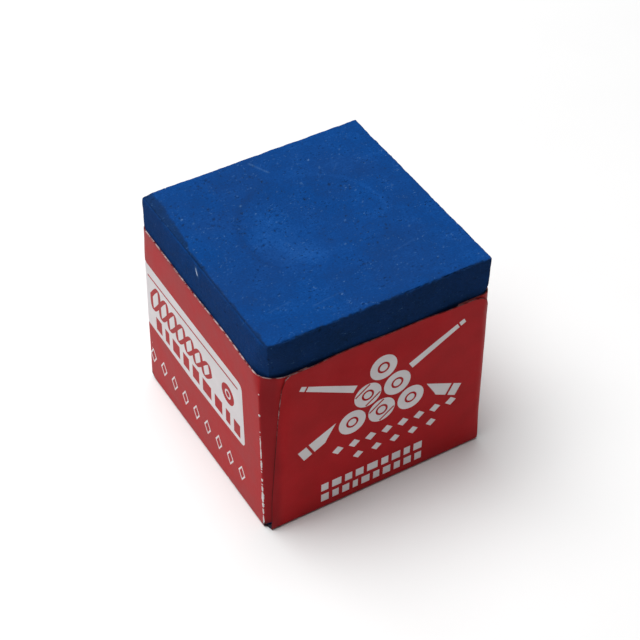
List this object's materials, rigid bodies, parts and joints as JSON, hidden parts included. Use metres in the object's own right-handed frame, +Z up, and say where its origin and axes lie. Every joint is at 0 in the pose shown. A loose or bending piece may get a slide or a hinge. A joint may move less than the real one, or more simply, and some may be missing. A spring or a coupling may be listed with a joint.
{
  "type": "cue chalk cube",
  "caption": "Cube of pressed cue chalk with a shallow dish worn in its top, in a glued, folded printed paper label that leaves its upper rim bare.",
  "frame": {"origin": "centre of the underside, on the plane that the cube rests on", "axes": "+Z up through the dish; -Y is the front panel of the label, +X and -X are its two side panels"},
  "size_m": [0.0222, 0.0226, 0.0222],
  "materials": {
    "chalk": "dry, matte and powdery pressed chalk, with fine pits and crumbly edges",
    "label": "varnished red and white print on thin white paper, with raw white cut edges",
    "glue": "dried cream-coloured paste"
  },
  "bodies": {
    "root": {"chalk_block": "chalk", "label_sheet": "label", "block_glue": "glue", "tab_glue_front_left": "glue", "tab_glue_front_right": "glue", "tab_glue_back_left": "glue", "tab_glue_back_right": "glue"}
  },
  "joints": []
}
